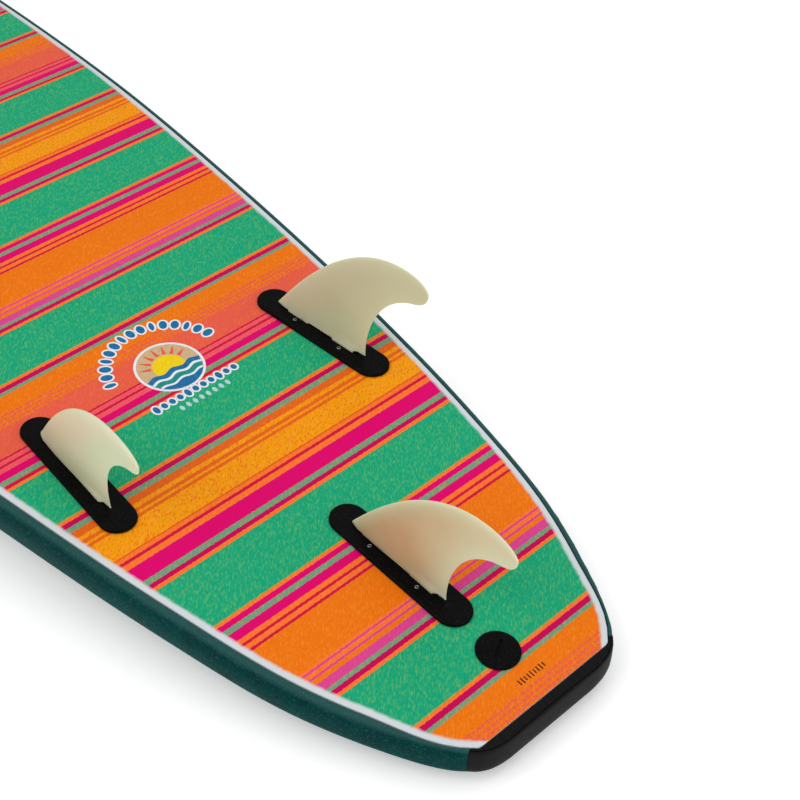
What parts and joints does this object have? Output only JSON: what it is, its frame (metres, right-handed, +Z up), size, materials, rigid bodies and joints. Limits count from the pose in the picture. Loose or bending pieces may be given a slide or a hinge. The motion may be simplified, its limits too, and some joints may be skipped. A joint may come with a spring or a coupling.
{
  "type": "surfboard",
  "caption": "Soft-top foam surfboard with a printed slick bottom, squared tail, removable fins in screwed plates and a leash plug.",
  "frame": {"origin": "under the middle of the board's length and width, on the plane it lies on, deck side down", "axes": "+X along the board towards the tail, +Y towards the left rail as seen from above with the bottom face up, +Z up, out of the bottom face"},
  "size_m": [2.438, 0.585, 0.2063],
  "materials": {
    "printed_slick": "striped print under a satin plastic sheet, with a white margin",
    "foam_sheet": "soft closed-cell foam sheet",
    "foam_core": "beaded foam",
    "foam_skin": "pebbled soft foam",
    "stringer_wood": "bare laminated wood",
    "black_plastic": "fine moulded grain",
    "bumper_foam": "dense moulded foam",
    "fin_plastic": "cream translucent moulding with a soft sheen",
    "screw_steel": "stainless"
  },
  "bodies": {
    "board": {"bottom_slick": "printed_slick", "bottom_backing": "foam_sheet", "tail_bumper": "bumper_foam", "deck_skin": "foam_skin", "deck_skin_tail": "foam_skin", "rail_skin_left": "foam_skin", "rail_skin_right": "foam_skin", "stringer_centre": "stringer_wood", "stringer_left": "stringer_wood", "stringer_right": "stringer_wood", "core_inner_left": "foam_core", "core_inner_right": "foam_core", "core_outer_left": "foam_core", "core_outer_right": "foam_core", "fin_plate_centre": "black_plastic", "fin_plate_left": "black_plastic", "fin_plate_right": "black_plastic", "grub_screw_centre_rear": "screw_steel", "grub_screw_centre_front": "screw_steel", "grub_screw_left_rear": "screw_steel", "grub_screw_left_front": "screw_steel", "grub_screw_right_rear": "screw_steel", "grub_screw_right_front": "screw_steel", "leash_cap": "black_plastic", "leash_plug": "black_plastic", "leash_bar": "screw_steel"},
    "centre_fin": {"fin_centre": "fin_plastic"},
    "left_fin": {"fin_left": "fin_plastic"},
    "right_fin": {"fin_right": "fin_plastic"}
  },
  "joints": [
    {"name": "centre_fin_slide", "type": "slide", "parent": "board", "child": "centre_fin", "axis": [0.1105, 0, 0.9939], "range_m": [0, 0.04]},
    {"name": "left_fin_slide", "type": "slide", "parent": "board", "child": "left_fin", "axis": [0.0707, 0.0695, 0.9951], "range_m": [0, 0.04]},
    {"name": "right_fin_slide", "type": "slide", "parent": "board", "child": "right_fin", "axis": [0.0707, -0.0695, 0.9951], "range_m": [0, 0.04]}
  ]
}
